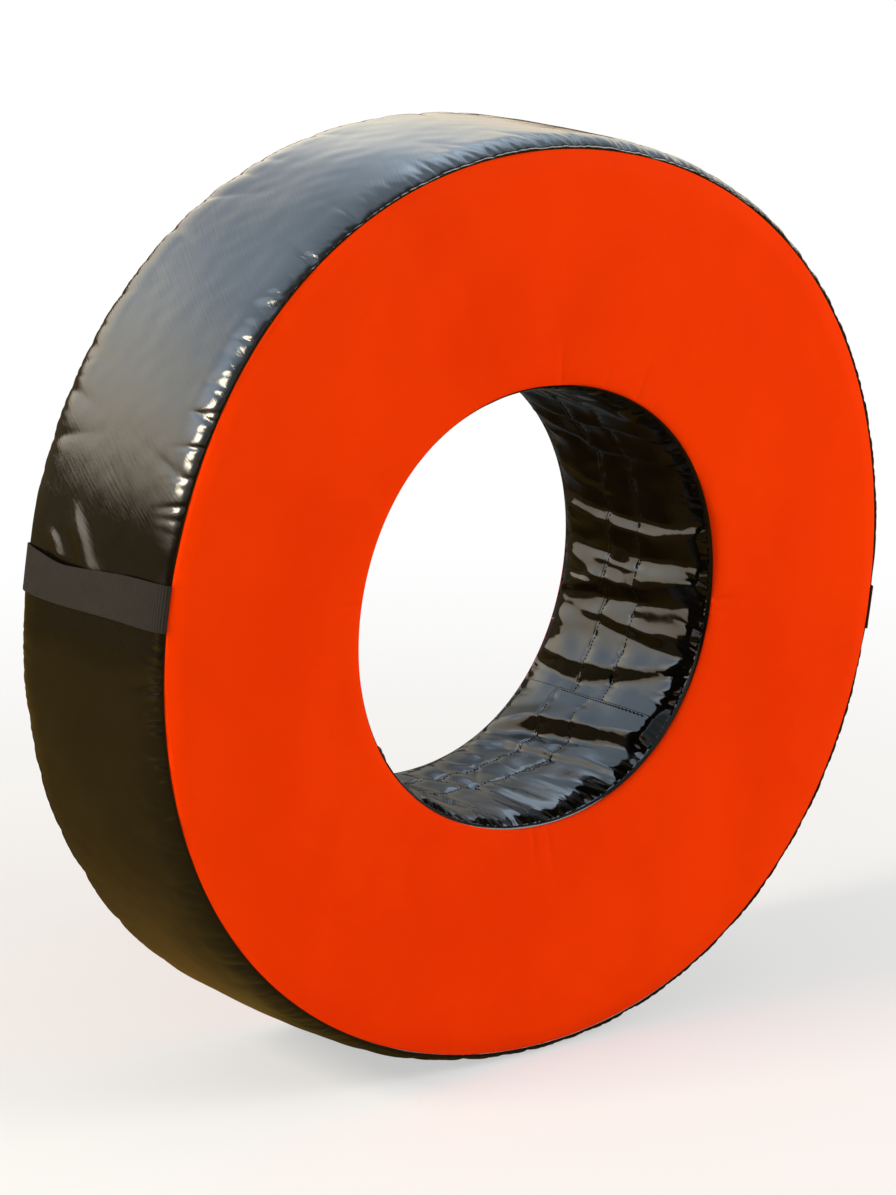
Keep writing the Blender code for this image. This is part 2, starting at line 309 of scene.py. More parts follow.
# Fold lines across the lining, from the top of the bore down its right side: the degrees of each at five
# places from the front to the back of the bore, and its height there in millimetres. The sheet is nearly flat
# between one line and the next, as creased vinyl is. The lines on the bore's other side are drawn at random.
line_places = (0.12, 0.06, 0, -0.06, -0.12)
top_line = 60
fold_lines = [
    ((60, 60, 60, 60, 60), (0.5, 1, 0.5, 1, 0.5)),
    ((47, 48, 49, 50, 52), (-0.5, -1, -1, -1, -0.5)),
    ((38.5, 41.5, 42, 43, 46), (2.2, 4.4, 4.6, 4.8, 3)),
    ((37.8, 40.8, 41.3, 42.3, 45.3), (-0.6, -1, -1, -0.8, -0.4)),
    ((31.5, 31.2, 30.2, 34, 39.5), (2.2, 4, 4.2, 4.4, 2.6)),
    ((30.8, 30.5, 29.5, 33.3, 38.8), (-0.8, -1, -1.2, -0.8, -0.6)),
    ((23.5, 20.4, 17.6, 17.2, 20.5), (1.6, 1.8, 1.6, 1.2, 1.2)),
    ((12.6, 9.9, 10, 10.5, 12.4), (-1, -1, -1, -1, -1)),
    ((10.6, 7.3, 7.4, 8, 10), (5, 6.4, 6.4, 6.2, 5.4)),
    ((1, 0.2, -0.6, -1.4, 0.8), (-0.4, -0.4, -0.4, -0.2, 0.2)),
    ((-0.6, -1.8, -2.6, -3.4, -0.2), (2.3, 3, 2.9, 3.3, 1.4)),
    ((-1.9, -4, -5.4, -5.4, -1.3), (4.4, 6.3, 7, 6.5, 2.6)),
    ((-3.2, -6.5, -9, -7.6, -2.4), (6.4, 9.7, 11.5, 10.2, 4.1)),
    ((-8.5, -12, -13, -13.6, -13.5), (-1.5, -2, -2, -2, -1.5)),
    ((-18, -20, -19.5, -18.5, -17), (2.6, 3.2, 3, 2.2, 1.6)),
    ((-24.3, -23.6, -21.8, -20.3, -18.8), (-1.2, -1.2, -0.4, 1.7, 2.4)),
    ((-25.8, -29.8, -32.8, -33.6, -32.2), (1.5, 4.4, 5.8, 6, 5)),
    ((-28.8, -33.6, -37.9, -38.2, -36.2), (-1.2, -1.5, -1.6, -1.6, -1.4)),
    ((-46.5, -49.6, -51.2, -53, -60.3), (7, 9.5, 10.5, 10.5, 4)),
    ((-51, -54, -56, -57.4, -62), (-4.5, -4.8, -4.8, -4.8, 0)),
    ((-60, -60.6, -61.9, -62.3, -66), (0.5, 1.5, 1.5, 1.5, 0.8)),
    ((-61.4, -62.3, -63.5, -64, -67.4), (-2.5, -4.4, -4.4, -4.4, -0.8)),
    ((-67.5, -71, -72.5, -72, -74), (1, 1.6, 1.4, 1.6, 1.2)),
    ((-72.5, -74, -75.5, -79, -79.5), (-1.6, -1.6, -0.8, -1.5, -1.6)),
    ((-79, -82.5, -84, -85, -84), (1, 2.2, 2, 1.4, 1.2)),
    ((-84, -85.5, -86.5, -90, -91), (-1.8, -1.4, -0.6, -1.5, -1.5)),
    ((-93, -92, -91, -96, -97), (1.5, 2.4, 2.4, 1.8, 1.2)),
    ((-99, -98, -97, -103, -104), (-1.8, -1.6, -1.4, -1.8, -1.5)),
]
place = -110
last_place = top_line - 360 + 8
while place > last_place:
    slants = rng.uniform(-5, 5) * np.array(line_places) / half_width + rng.uniform(-1.2, 1.2, 5)
    height = rng.uniform(1.5, 6.0) * rng.uniform(0.5, 1.0, 5)
    valley = place - rng.uniform(2.5, 5.5)
    fold_lines.append((tuple(place + slants), tuple(height)))
    fold_lines.append((tuple(valley + slants), tuple(rng.uniform(-2.0, -0.5, 5))))
    place = valley - rng.uniform(5, 11)
fold_lines.append((tuple(line - 360 for line in fold_lines[0][0]), fold_lines[0][1]))
# Smaller folds on top: height and spread above and below the crest in metres, and the crest's points, each
# with its place towards the back and its degrees
small_folds = [
    (0.0028, 0.006, 0.010, [(0.05, -11), (0.094, -10.7), (0.125, -9.8)]),
    (-0.0028, 0.0035, 0.005, [(0.012, -84), (0.037, -80.2), (0.053, -76.2)]),
    (0.0016, 0.004, 0.008, [(-0.078, -73.5), (-0.051, -74), (-0.003, -74.8)]),
    (0.0018, 0.004, 0.008, [(-0.067, -88.5), (-0.039, -87.5), (-0.01, -86.5)]),
    (0.0018, 0.004, 0.008, [(-0.067, -80.5), (-0.036, -82.5), (-0.015, -84)]),
    (0.0014, 0.004, 0.010, [(0.072, -71.8), (0.101, -72), (0.127, -74)]),
    (0.0014, 0.004, 0.010, [(0.06, -77.5), (0.087, -78.8), (0.12, -78.8)]),
    (0.0022, 0.004, 0.012, [(0.03, 16), (0.075, 18), (0.115, 20.5)]),
    (0.0018, 0.004, 0.010, [(0.061, 32.2), (0.095, 31.5), (0.115, 34)]),
    (0.0008, 0.005, 0.0024, [(-0.027, -3.8), (0.008, -4.4), (0.042, -4.0), (0.052, -3.7)]),
    (0.0068, 0.013, 0.0045, [(0.050, -11.0), (0.088, -12.8), (0.127, -14.3)]),
]


def random_waves(first, second, longest, shortest, count, rng, period=None):
    """Smooth unevenness from about -1 to 1: crossing waves of many lengths, which repeat after any period."""
    total = np.zeros_like(first)
    for _ in range(count):
        length = longest * (shortest / longest) ** rng.random()
        heading = rng.uniform(0, math.pi)
        phase = rng.uniform(0, full_turn)
        per_metre = math.cos(heading) / length
        if period:
            per_metre = round(per_metre * period) / period
        total += np.cos(full_turn * (first * per_metre + second * math.sin(heading) / length) + phase)
    return total / math.sqrt(count)


def wrapped(distance, length):
    return (distance + length / 2) % length - length / 2


# How far the closure wanders towards the front, by degrees round the bore, with a jog at the lining's joint
closure_wander = np.array([
    (-47, 0.006), (-35, 0.002), (-20, 0.0), (0, -0.001), (12, 0.001), (24, 0.002), (31, 0.009), (40, 0.004),
    (90, 0.006), (180, -0.003), (262, -0.020), (274, -0.022), (289, -0.012), (300, -0.004), (306, -0.006),
    (313, -0.016),
])


def closure_shift(angle):
    degrees = np.degrees(angle - lap_angle) + closure_wander[0, 0]
    knot = np.interp(degrees, closure_wander[:, 0], np.arange(len(closure_wander)))
    low = np.minimum(knot.astype(int), len(closure_wander) - 2)
    share = smooth(knot - low)
    return closure_wander[low, 1] * (1 - share) + closure_wander[low + 1, 1] * share


def wandering(angle, forward):
    """A place across the bore once the closure's wander has moved it; the seams stay put."""
    room = smooth((half_width - lining_shoulder / 2 - np.abs(forward)) / wander_reach)
    return forward + closure_shift(angle) * room


# The heights of those lines laid out as a map of the bore, by turn downwards from its top line and by width
map_turns = 3600
map_rows = 131
crease_round = 0.0011
fold_round = 0.008
map_turn = np.arange(map_turns) * 360 / map_turns
map_forward = np.linspace(-half_width, half_width, map_rows)
fold_map = np.zeros((map_turns, map_rows))
line_wander = [
    0.28 * random_waves(map_forward, map_forward * 0, 0.10, 0.03, 5, rng) for _ in fold_lines[1:-1]
]
for row, level in enumerate(map_forward):
    down_turn = [top_line - np.interp(level, line_places[::-1], degrees[::-1]) for degrees, _ in fold_lines]
    raised = [np.interp(level, line_places[::-1], heights[::-1]) for _, heights in fold_lines]
    for line, wander in enumerate(line_wander):
        down_turn[line + 1] += wander[row]
    fold_map[:, row] = np.interp(map_turn, np.maximum.accumulate(down_turn), raised) / 1000


def blurred(values, step, reach, wraps):
    """Smooths a map along its first axis over a reach in metres."""
    half = int(3 * reach / step) + 1
    weights = np.exp(-0.5 * (np.arange(-half, half + 1) * step / reach) ** 2)
    padded = np.pad(values, ((half, half), (0, 0)), mode="wrap" if wraps else "edge")
    total = sum(weight * padded[shift:shift + len(values)] for shift, weight in enumerate(weights))
    return total / weights.sum()


fold_map = blurred(fold_map, bore_length / map_turns, crease_round, True)
fold_map = blurred(fold_map.T, map_forward[1] - map_forward[0], fold_round, False).T


def from_map(angle, forward):
    """The height of the folds at any place, between the map's own points."""
    turn = (top_line - np.degrees(angle)) % 360 / 360 * map_turns
    across = np.clip((forward + half_width) / (2 * half_width), 0, 1) * (map_rows - 1)
    first, low = np.floor(turn).astype(int), np.minimum(np.floor(across).astype(int), map_rows - 2)
    turn_share, share = turn - first, across - low
    here, ahead = (
        fold_map[column % map_turns, low] * (1 - share) + fold_map[column % map_turns, low + 1] * share
        for column in (first, first + 1)
    )
    return here * (1 - turn_share) + ahead * turn_share


# The sheet bulges between its seams, wobbles a little, sinks at the stitch rows, and has one flat raised spot
# beside the back row
lining_bulge = 0.004
bulge_reach = 0.05
seam_reach = 0.018
lowest_valley = -0.0058
wobble_height = 0.0012
ripple_height = 0.0007
fold_end_reach = 0.022
fold_power = 1.45
fold_cut_off = 3.5
row_depth = 0.0009
row_depth_change = 0.0006
row_spread = 0.0028
dimple_angle = math.radians(-1.3)
dimple_forward = -0.020
dimple_half_width = 0.0108
dimple_half_height = 0.0080
dimple_level = 0.0068
dimple_power = 8


def lining_stand_off(angle, forward, shift):
    """How far the lining's visible side stands off its plain round shape, towards the axis."""
    along = angle * lining_radius
    from_seam = half_width - np.abs(forward)
    drift = np.random.default_rng(5)
    wobble = wobble_height * random_waves(along * 0.3, forward, 0.09, 0.025, 8, drift, bore_length * 0.3)
    height = from_map(angle + wobble / lining_radius, forward)
    height += lining_bulge * smooth(from_seam / bulge_reach)
    for depth, upper, lower, crest in small_folds:
        crest_forward, crest_degrees = np.array(sorted((-place, degrees) for place, degrees in crest)).T
        crest_along = np.radians(crest_degrees) * lining_radius
        aside = wrapped(along - np.interp(forward, crest_forward, crest_along) - wobble, bore_length)
        aside = aside / np.where(aside > 0, upper, lower)
        near = np.abs(aside) < fold_cut_off
        ends = smooth((forward - crest_forward[0]) / fold_end_reach + 0.5)
        ends *= smooth((crest_forward[-1] - forward) / fold_end_reach + 0.5)
        height[near] += (depth * np.exp(-np.abs(aside) ** fold_power) * ends)[near]
    ripples = random_waves(along * 1.2, forward * 0.8, 0.10, 0.035, 10, drift, bore_length * 1.2)
    height += ripple_height * ripples
    for row in row_places:
        from_row = (forward - shift - row) / row_spread
        change = random_waves(along, forward * 0, 0.035, 0.009, 8, drift, bore_length)
        height -= (row_depth + row_depth_change * change) * np.exp(-from_row**2)
    upwards = wrapped(along - dimple_angle * lining_radius, bore_length) / dimple_half_height
    dimple = np.hypot(upwards, (forward - dimple_forward) / dimple_half_width)
    height += (dimple_level - height) * np.exp(-(dimple**dimple_power))
    return np.maximum(height, lowest_valley) * smooth(from_seam / seam_reach)


def seam_rows(rng, length, spacing, depth, reach):
    """The short creases that gather a panel along a seam: place, depth, reach, width and slant of each."""
    rows = []
    place = rng.uniform(0, spacing[0])
    while place < length:
        width, slant = rng.uniform(0.0018, 0.0036), rng.uniform(-0.35, 0.35)
        rows.append((place, rng.uniform(*depth), rng.uniform(*reach), width, slant))
        place += rng.uniform(*spacing)
    return rows


def gathered(along, from_seam, rows, length):
    """How far those creases sink the panel."""
    sunk = np.zeros_like(along)
    for place, depth, reach, width, slant in rows:
        aside = wrapped(along - place - slant * from_seam, length)
        near = (np.abs(aside) < 5 * width) & (from_seam < 2.5 * reach)
        crease = np.exp(-np.abs(aside[near] / width) ** crease_power)
        fade = (1 - np.exp(-from_seam[near] / crease_start)) * np.exp(-((from_seam[near] / reach) ** 2))
        sunk[near] += depth * crease * fade
    return sunk


lining_front_rows = seam_rows(rng, bore_length, (0.006, 0.014), (0.0010, 0.0030), (0.010, 0.030))
lining_back_rows = seam_rows(rng, bore_length, (0.007, 0.018), (0.0008, 0.0024), (0.010, 0.028))


def quarter_ellipse(seam, along, rise, steps=14):
    """The rounded stretch by which a panel rises from its seam."""
    turns = np.linspace(0, math.pi / 2, steps)[:, None]
    return np.array(seam) + np.array(rise) * np.sin(turns) + np.array(along) * (1 - np.cos(turns))


def lining_edge(side):
    """A bore strip's sewn edge, from the end of its allowance to the top of its rolled shoulder."""
    seam = np.array([bore_seam_radius + layer_gap * diagonal / 2, side * (half_width - layer_gap / 2)])
    end = seam + seam_allowance * diagonal * np.array([1, -side])
    rolled = quarter_ellipse(seam, (0, -side * lining_shoulder), (-lining_crown, 0))
    return np.array([end, *rolled])


def even_points(points, shares):
    """Points on a line at given shares of its length, with the unit normal on its left, and its length."""
    lengths = np.concatenate([[0], np.cumsum(np.linalg.norm(np.diff(points, axis=0), axis=1))])

    def reached(places):
        return np.stack([np.interp(places, lengths, points[:, axis]) for axis in (0, 1)], axis=-1)

    places = np.asarray(shares) * lengths[-1]
    fine = lengths[-1] / 2000
    tangent = reached(places + fine) - reached(places - fine)
    tangent /= np.linalg.norm(tangent, axis=1)[:, None]
    return reached(places), np.stack([-tangent[:, 1], tangent[:, 0]], axis=-1), lengths[-1]


def flat_grid(turn_steps, shares):
    """A flat sheet with rows at given shares of its width, and each point's share of turn and of width."""
    shape = bmesh.new()
    bmesh.ops.create_grid(shape, x_segments=turn_steps, y_segments=len(shares) - 1, size=0.5)
    bmesh.ops.translate(shape, verts=shape.verts, vec=(0.5, 0.5, 0))
    even = np.linspace(0, 1, len(shares))
    for vertex in shape.verts:
        vertex.co.y = np.interp(vertex.co.y, even, shares)
    turn, across = np.array([vertex.co[:2] for vertex in shape.verts]).T
    return shape, turn, across


def unrolled(shape, turn_length, width_length):
    """Gives each face its place on the flat cut sheet as a UV map, in metres."""
    layer = shape.loops.layers.uv.new("cut_sheet")
    for face in shape.faces:
        for loop in face.loops:
            loop[layer].uv = (loop.vert.co.x * turn_length, loop.vert.co.y * width_length)


def shaped(shape, points):
    for vertex, point in zip(shape.verts, points):
        vertex.co = point


def width_shares(stops):
    """Shares of the width for a strip's rows: each stop is a place in metres and the steps up to it."""
    places = [0.0]
    for place, steps in stops:
        places += list(np.linspace(places[-1], place, steps + 1)[1:])
    return np.array(places) / places[-1]


def inside_seams(across, width, fade=0.012):
    """0 over a panel's sewn allowances and 1 further in, by its shares of the width."""
    allowance = seam_allowance / width
    return smooth(np.minimum(across - allowance, 1 - allowance - across) / fade)


def bore_surface(angle, radius, forward, gathers=()):
    """A point of a bore strip in its place, from where it lies on the plain round lining."""
    inside = np.abs(forward) < half_width - seam_allowance
    moved = wandering(angle, forward)
    onto_lap = (angle - lap_angle - full_turn * (1 - lap_share)) / (full_turn * lap_share)
    lapped = lap_rise * smooth(onto_lap) * smooth((half_width - np.abs(moved)) / lap_fade)
    stand_off = lining_stand_off(angle, moved, moved - forward) + lapped
    for side, rows in gathers:
        from_seam = np.maximum(half_width - side * moved, 0)
        stand_off -= np.where(inside, gathered(angle * lining_radius, from_seam, rows, bore_length), 0)
    return standing(angle, radius - stand_off, moved)


def face_out(shape, side):
    """Turns a sheet's faces away from the wheel's axis, or towards it for side -1."""
    bmesh.ops.recalc_face_normals(shape, faces=shape.faces)
    middle = min(shape.faces, key=lambda face: abs(face.calc_center_median().y))
    outward = middle.calc_center_median() - Vector((0, 0, centre_height))
    if side * middle.normal.dot(outward) < 0:
        bmesh.ops.reverse_faces(shape, faces=shape.faces)


def thickened(piece, thickness, offset=-1):
    """Gives a sheet its thickness, behind its faces for offset -1 and before them for 1."""
    sheet = piece.modifiers.new("Sheet", "SOLIDIFY")
    sheet.thickness = thickness
    sheet.offset = offset


def bore_strip(name, profile, stops, thickness, material, node, gathers):
    """One strip round the bore, lapped onto its own start, with its thickness towards the piece under it."""
    shape, turn, across = flat_grid(bore_turn_steps, width_shares(stops))
    sweep = full_turn + lap_length / lining_radius
    points, _, width = even_points(profile, across)
    unrolled(shape, sweep * lining_radius, width)
    shaped(shape, bore_surface(lap_angle + turn * sweep, points[:, 0], points[:, 1], gathers))
    face_out(shape, -1)
    piece = finish_piece(name, shape, material, node)
    thickened(piece, thickness)


gloss_black, shade, shader = finish_material("gloss_black_vinyl", IOR=1.4)
sheet_place = shade.coordinates(uv=True)
dust = shade.noise(sheet_place, 35, 5.0, 0.6)
scuffs = shade.noise(shade.turned(sheet_place, (0, 0, 0.9), (14, 260, 1)), 1.0, 4.0, 0.6)
grain = shade.noise(sheet_place, 1400, 2.0)
dusted = dust.between(0.45, 0.8)
feed(shader, "Base Color", shade.mix(dusted, (0.004, 0.003, 0.0014, 1), (0.010, 0.008, 0.0048, 1)))
feed(shader, "Roughness", 0.06 + dust.between(0.5, 0.85) * 0.10 + scuffs.between(0.55, 0.9) * 0.05)
fine = shade.bump(grain, 0.00002)
feed(shader, "Normal", shade.bump(shade.noise(sheet_place, 90, 2.0), 0.00008, under=fine))

tape_black, shade, shader = finish_material("tape_black", Specular_IOR_Level=0.2)
tape_place = shade.coordinates(uv=True)
loops = shade.cells(tape_place, 1100)
feed(shader, "Base Color", shade.mix(loops, (0.006, 0.006, 0.006, 1), (0.02, 0.02, 0.021, 1)))
feed(shader, "Roughness", 0.8 + loops * 0.15)
feed(shader, "Normal", shade.bump(loops, 0.0005))

inner_level = half_width - lining_shoulder
eased = [
    (
        lining_radius + (flap_radius - lining_radius) * smooth(share),
        inner_level + (tape_front - inner_level) * share,
    )
    for share in np.linspace(0, 1, 9)[1:]
]
flap_profile = np.array([*lining_edge(1), *eased, (flap_radius, tape_back - flap_margin)])
seam_stops = [(0.0045, 1), (0.012, 5), (0.022, 5), (0.040, 5)]
edge_length = 0.036
seam_to_row = inner_level - row_places[0] + edge_length
row_apart = row_places[0] - row_places[1]
row_stops = [(-0.0035, 6), (-0.0015, 1), (0, 1), (0.0015, 1), (0.0035, 1)]
flap_stops = seam_stops + [(seam_to_row + place, steps) for place, steps in row_stops]
flap_stops += [(seam_to_row + row_apart + place, steps) for place, steps in row_stops]
bore_strip(
    "bore_lining_flap", flap_profile, flap_stops, vinyl_thickness, gloss_black,
    "front_bore_lining_flap", [(1, lining_front_rows)],
)

dip = [
    (lining_radius + (under_radius - lining_radius) * smooth(share), tape_back - flap_margin * (1 - share))
    for share in np.linspace(0, 1, 4)
]
back_profile = np.array([*lining_edge(-1), *dip, (under_radius, tape_front + underlap)])
back_to_dip = inner_level + tape_back - flap_margin + edge_length
back_stops = seam_stops + [(back_to_dip, 10), (back_to_dip + 0.006, 4), (back_to_dip + 0.064, 5)]
bore_strip(
    "bore_lining_back", back_profile, back_stops, vinyl_thickness, gloss_black,
    "back_bore_lining", [(-1, lining_back_rows)],
)

for tape_name, tape_radius, node in (
    ("closure_hook_strip", hook_radius, "closure_hook_tape"),
    ("closure_loop_strip", loop_radius, "closure_loop_tape"),
):
    tape_profile = np.array([(tape_radius, tape_front), (tape_radius, tape_back)])
    bore_strip(
        tape_name, tape_profile, [(1, 6)], tape_thickness, tape_black,
        node, [],
    )

# The closure's stitches: black thread in two rows that hold the hook tape under the flap, and one row across
# the flap that closes its lap.
stitch_length = 0.0037
stitch_pitch = 0.0046
stitch_stray = 0.0002
row_end_gap = 0.01
thread_radius = 0.0009
thread_sink = 0.0001

thread_black, shade, shader = finish_material("thread_black", Specular_IOR_Level=0.3)
fibres = shade.noise(shade.coordinates(), 2600, 2.0)
feed(shader, "Base Color", shade.mix(fibres, (0.004, 0.0036, 0.003, 1), (0.016, 0.014, 0.012, 1)))
feed(shader, "Roughness", 0.6 + fibres * 0.3)
feed(shader, "Normal", shade.bump(fibres, 0.0001))


def sewn(name, rows, place_stitch, material, radius=thread_radius):
    """Rows of stitches as one piece. place_stitch gives the points for pairs of row coordinates."""
    shape = bmesh.new()
    for starts, ends in rows:
        for start, end in zip(place_stitch(*starts), place_stitch(*ends)):
            middle, reach = Vector((start + end) / 2), Vector(end - start)
            matrix = Matrix.Translation(middle) @ reach.to_track_quat("X", "Z").to_matrix().to_4x4()
            matrix = matrix @ Matrix.Diagonal((reach.length / 2, radius, radius, 1))
            bmesh.ops.create_icosphere(shape, subdivisions=1, radius=1, matrix=matrix)
    return finish_piece(name, shape, material, smooth_to=180)


def on_flap(angle, forward):
    return bore_surface(angle, flap_radius + thread_sink, forward, [(1, lining_front_rows)])


closure_rows = []
for place in row_places:
    starts = lap_angle + np.arange(0, full_turn - row_end_gap, stitch_pitch / lining_radius)
    across = np.full_like(starts, place) + rng.uniform(-stitch_stray, stitch_stray, len(starts))
    closure_rows.append(((starts, across), (starts + stitch_length / lining_radius, across)))
lap_places = np.arange(row_places[1] + 0.004, inner_level, stitch_pitch)
lap_line = np.full_like(lap_places, lap_angle + full_turn + (lap_length - lap_inset) / lining_radius)
closure_rows.append(((lap_line, lap_places), (lap_line, lap_places + stitch_length)))
sewn("closure_stitches", closure_rows, on_flap, thread_black)

# The outer wall: two lengths of the same black vinyl, sewn into both outer seams and joined under the
# handles. Gathering it into the curved seams leaves a row of short creases along each edge.
wall_length = math.pi * (outer_seam_radius + wall_crown)
strap_width = 0.052
strap_dent = 0.0016
dent_reach = 0.055
dent_fade = 0.03
wall_puff = 0.0015
puff_reach = 0.06
wall_wave_height = 0.0005
wall_ripple_height = 0.0001
back_gathers = 0.55
wide_gather = 3.4
gather_reach = 0.04
front_reach = 0.02
wall_turn_steps = 640
# Folds that run from the left handle up the wall: degrees and place in front of the middle at their lower
# and upper end, height and spread. Each narrows upwards, is wider on its back side, and fades out below its
# lower end and towards its upper one.
fade_below, fade_above = 0.3, 0.6
foot_spread, narrowing = 1.2, 0.7
back_spread = 1.5
strap_fold_power = 1.5
strap_folds = [
    ((168.6, -0.003), (161.2, -0.048), 0.0050, 0.013),
    ((168.4, -0.060), (165.0, -0.084), 0.0036, 0.009),
    ((168.0, 0.062), (162.5, 0.045), -0.0010, 0.016),
]

satin_black, shade, shader = finish_material("satin_black_vinyl", IOR=1.5)
sheet_place = shade.coordinates(uv=True)
streaked = shade.turned(shade.turned(sheet_place, (0, 0, 1.01)), scale=(16, 420, 1))
brushed = shade.noise(streaked, 1.0, 4.0, 0.65)
clouds = shade.noise(sheet_place, 9, 4.0, 0.6)
grain = shade.noise(sheet_place, 1300, 2.0)
feed(shader, "Base Color", shade.mix(clouds, (0.0028, 0.0021, 0.0011, 1), (0.0052, 0.0041, 0.0026, 1)))
feed(shader, "Roughness", 0.055 + brushed.between(0.45, 0.8) * 0.08 + clouds.between(0.4, 0.75) * 0.04)
fine = shade.bump(grain, 0.00003)
feed(shader, "Normal", shade.bump(brushed, 0.00021, under=fine))


def wall_profile():
    """The wall's section from its front allowance over its shoulders to the back one."""
    seam = np.array([outer_seam_radius - layer_gap * diagonal / 2, half_width - layer_gap / 2])
    end = seam - seam_allowance * diagonal
    front = np.array([end, *quarter_ellipse(seam, (0, -wall_shoulder), (wall_crown, 0))])
    level = half_width - wall_shoulder
    middle = [
        (outer_seam_radius + wall_crown + wall_swell * math.cos(forward / level * math.pi / 2), forward)
        for forward in np.linspace(level, -level, 16)[1:-1]
    ]
    return np.array([*front, *middle, *(front[::-1] * (1, -1))])


wall_width = even_points(wall_profile(), [0])[2]
gather_end, shoulder_end = seam_allowance + 0.010, seam_allowance + 0.046
wall_shares = width_shares([
    (seam_allowance, 1), (gather_end, 8), (shoulder_end, 10), (wall_width - shoulder_end, 38),
    (wall_width - gather_end, 10), (wall_width - seam_allowance, 8), (wall_width, 1),
])
# The upper length lies calm over a longer stretch beside its handles than the lower one
for index, (name, node, calm_reach) in enumerate((
    ("outer_wall_upper", "upper_outer_band", 0.12),
    ("outer_wall_lower", "lower_outer_band", 0.03),
)):
    wall_rng = np.random.default_rng(20 + index)
    shape, turn, across = flat_grid(wall_turn_steps, wall_shares)
    points, normals, width = even_points(wall_profile(), across)
    unrolled(shape, wall_length, width)
    start = joint_angle + index * math.pi
    angle = start + layer_gap + turn * (math.pi - 2 * layer_gap)
    along = turn * wall_length
    radius, forward = points[:, 0], points[:, 1]
    to_strap = np.minimum(along, wall_length - along) - strap_width / 2
    calm = smooth(to_strap / calm_reach)
    waves = wall_wave_height * random_waves(along, forward, 0.4, 0.09, 16, wall_rng) * calm
    height = wall_puff * smooth(to_strap / puff_reach) + waves
    height += wall_ripple_height * random_waves(along, forward, 0.06, 0.025, 12, wall_rng)
    kept = np.maximum(smooth(to_strap / gather_reach), smooth(forward / front_reach)) * calm**2
    for side, share in ((1, 1.0), (-1, back_gathers)):
        depths = (0.0006 * share, 0.0026 * share)
        rows = seam_rows(wall_rng, wall_length, (0.007, 0.018), depths, (0.010, 0.028))
        wide = seam_rows(wall_rng, wall_length, (0.03, 0.08), (0.0008, 0.0024), (0.030, 0.06))
        wide = [
            (place, depth, reach, spread * wide_gather, slant) for place, depth, reach, spread, slant in wide
        ]
        from_seam = np.maximum(half_width - side * forward, 0)
        for creases in (rows, wide):
            height -= gathered(along, from_seam, creases, 4 * wall_length) * kept
    height *= inside_seams(across, width)
    dent = strap_dent * np.exp(-((np.maximum(to_strap, 0) / dent_reach) ** 2))
    height -= dent * smooth((half_width - np.abs(forward)) / dent_fade)
    for (low, low_forward), (high, high_forward), ridge, spread in strap_folds:
        share = (np.degrees(angle) - low) / (high - low)
        line = low_forward + (high_forward - low_forward) * np.clip(share, -fade_below, 1)
        fade = smooth((share + fade_below) / fade_below) * smooth((1 - share) / fade_above)
        reach = spread * (foot_spread - narrowing * np.clip(share, 0, 1))
        reach *= np.where(forward > line, 1, back_spread)
        height += ridge * np.exp(-np.abs((forward - line) / reach) ** strap_fold_power) * fade
    placed = standing(angle, radius + normals[:, 0] * height, forward + normals[:, 1] * height)
    placed[:, 2] = np.maximum(placed[:, 2], 0)
    shaped(shape, placed)
    face_out(shape, 1)
    wall = finish_piece(name, shape, satin_black, node)
    thickened(wall, vinyl_thickness)

# The handles: a strap of grey-brown woven webbing on each side, laid over the outer wall from seam to seam.
# Its ends are caught in the two edge seams and tacked across just inside them, and it is slack in between, so
# that its upper edge hangs a little.
strap_width_steps = 28
strap_length_steps = 90
strap_thickness = 0.002
strap_slack = 0.003
strap_curl = 0.0006
strap_drift = 0.0015
strap_slant = 0.002
upper_edge_sag = 0.0085
sag_start, sag_rise = -0.122, 0.088
sag_end, sag_fall = -0.06, 0.19
selvedge_round = 0.0006
tack_inset = 0.008
tack_margin = 0.003
tack_radius = 0.0005

webbing, shade, shader = finish_material("grey_webbing", Specular_IOR_Level=0.04)
strap_place = shade.coordinates(uv=True)
ribs = shade.waves(strap_place, 200, 0.5, "X")
picks = shade.waves(strap_place, 105, 0.5, "Y")
lint = shade.noise(strap_place, 60, 5.0, 0.65)
worn = shade.noise(strap_place, 9, 3.0)
threads = ribs * 0.4 + picks * 0.6
dark_yarn = shade.mix(worn.between(0.3, 0.7), (0.0078, 0.0068, 0.0058, 1), (0.013, 0.0113, 0.0096, 1))
feed(shader, "Base Color", shade.mix(threads * 0.7 + lint * 0.3, dark_yarn, (0.034, 0.029, 0.024, 1)))
feed(shader, "Roughness", 0.72 + threads * 0.15)
feed(shader, "Normal", shade.bump(threads, 0.0007))

strap_profile = wall_profile()[1:-1]
from_tack = np.clip((half_width - tack_inset - np.abs(strap_profile[:, 1])) / (half_width - tack_inset), 0, 1)
strap_profile[:, 0] += layer_gap + strap_slack * np.sin(from_tack * math.pi / 2)


def on_strap(middle_angle, aside, across, out=0.0):
    """A point of a strap's inner side: aside in metres over its width, across as a share of its length."""
    radius, forward = even_points(strap_profile, across)[0].T
    level = radius + out + strap_curl * (2 * np.abs(aside) / strap_width) ** 3
    drift = strap_drift * np.sin(across * full_turn + middle_angle) + strap_slant * (across - 0.5)
    upper = aside * math.cos(middle_angle)
    hanging = smooth((forward - sag_start) / sag_rise) * (1 - smooth((forward - sag_end) / sag_fall))
    slackened = upper_edge_sag * hanging * smooth(upper / strap_width + 0.5)
    drift += slackened * math.copysign(1, -math.cos(middle_angle))
    angle = middle_angle + (aside + drift) / (outer_seam_radius + wall_crown)
    return standing(angle, level, forward)


